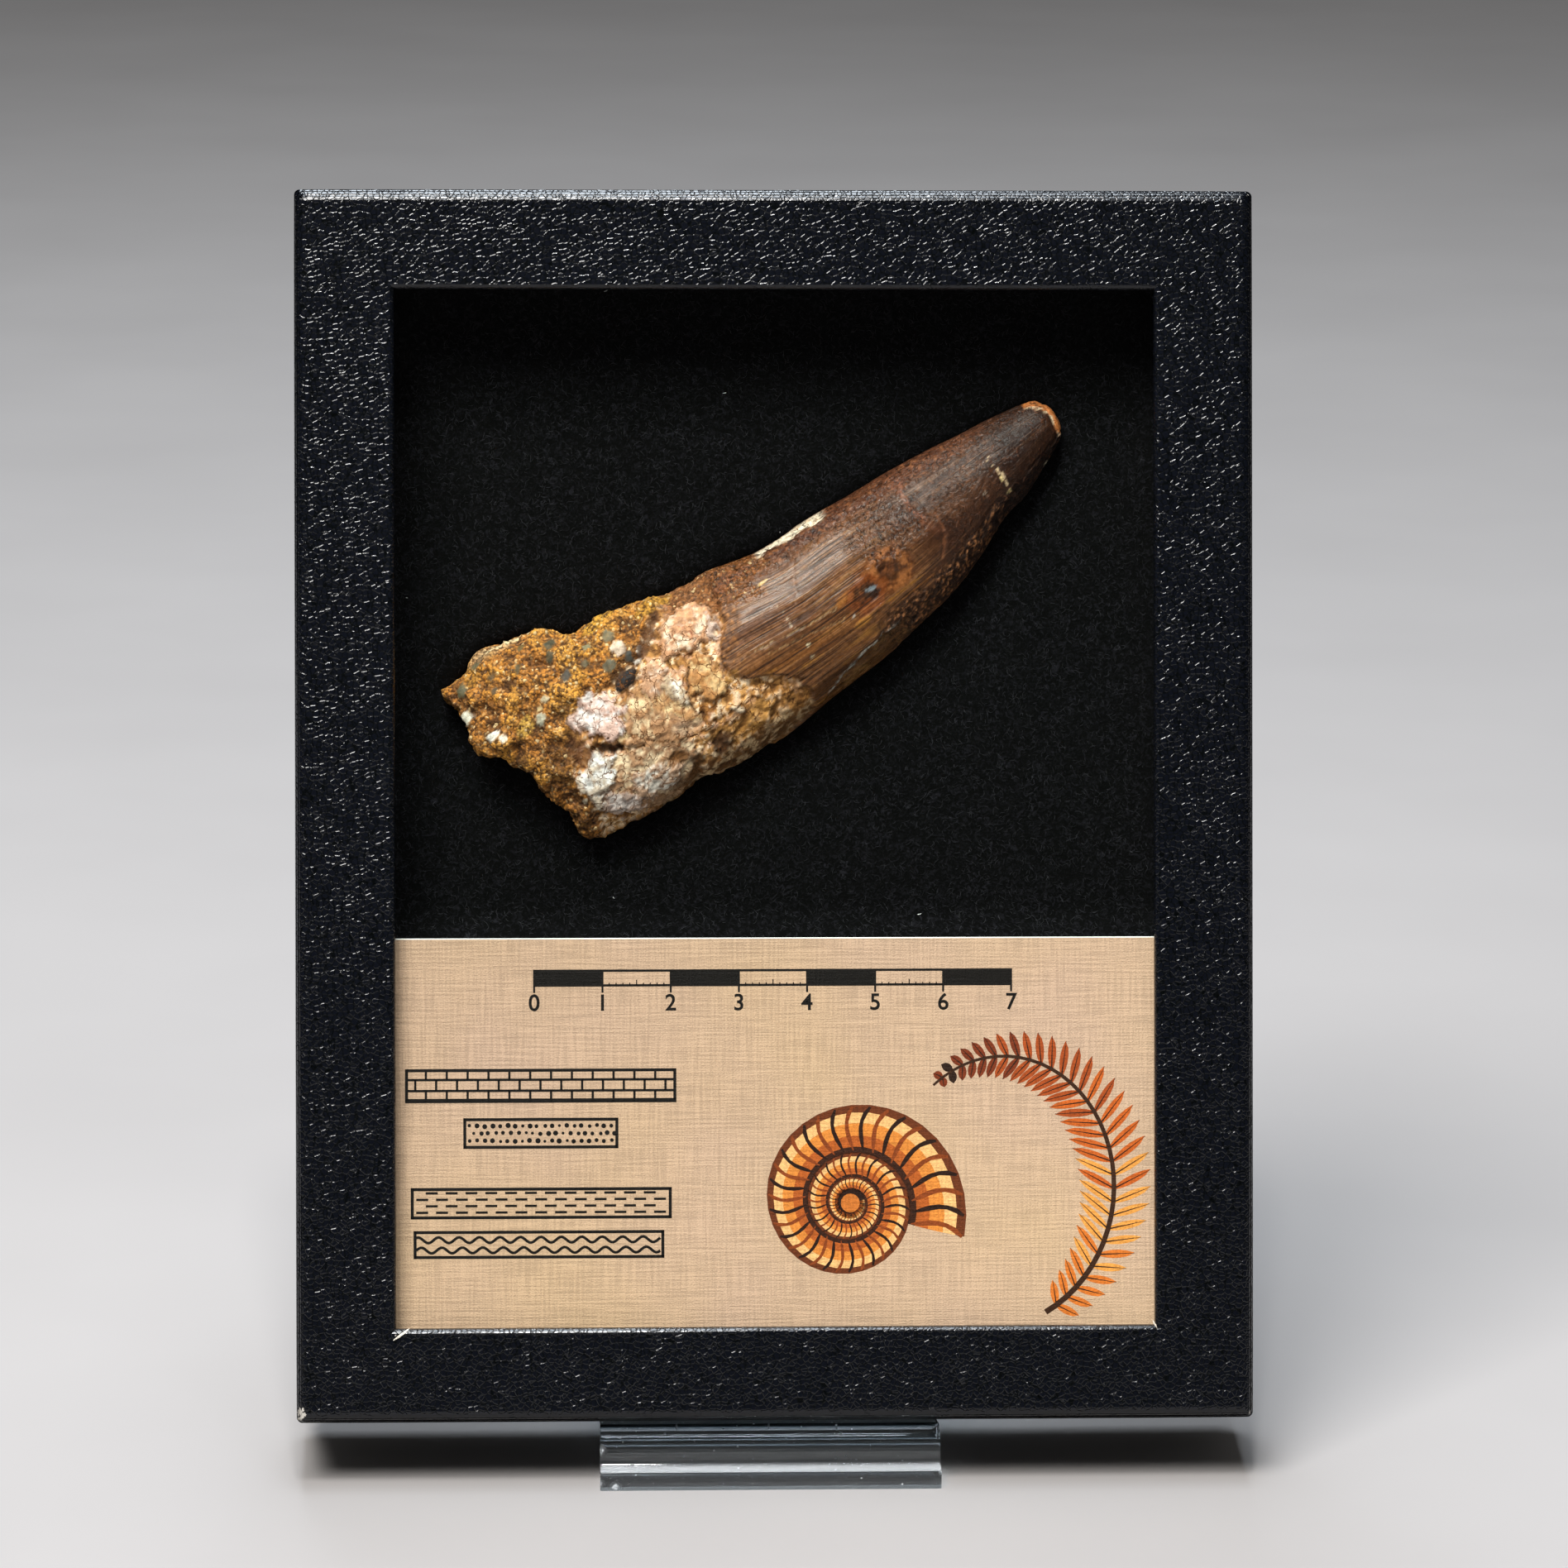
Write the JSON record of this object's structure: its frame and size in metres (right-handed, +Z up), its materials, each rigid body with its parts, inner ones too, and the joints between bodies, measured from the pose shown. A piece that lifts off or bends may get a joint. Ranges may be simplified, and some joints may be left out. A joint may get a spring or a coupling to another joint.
{
  "type": "fossil spinosaurus tooth",
  "caption": "Fossil spinosaurus tooth with sandstone on its root, bedded in black felt in a glass-fronted display case that leans on a clear bent easel.",
  "frame": {"origin": "centre of the footprint on the table, under the middle of the whole object's box", "axes": "+X to the right along the front of the case, +Y from the front to the back, +Z up; the case leans back by 14 degrees"},
  "size_m": [0.1416, 0.088, 0.1845],
  "materials": {
    "leatherette": "black pebble-embossed leatherette paper over board, slight sheen",
    "window_glass": "clear flat window glass",
    "tray_board": "matt black paper over board",
    "felt": "black needled felt over a soft pad",
    "card": "tan linen-embossed card, printed",
    "fossil": "dark brown fluted enamel, pale broken plates and ochre sandstone",
    "acrylic": "clear bent acrylic sheet with polished edges"
  },
  "bodies": {
    "root": {"box_lid": "leatherette", "window_pane": "window_glass", "box_tray": "tray_board", "felt_pad": "felt", "info_card": "card", "fossil_tooth": "fossil", "easel_stand": "acrylic"}
  },
  "joints": []
}
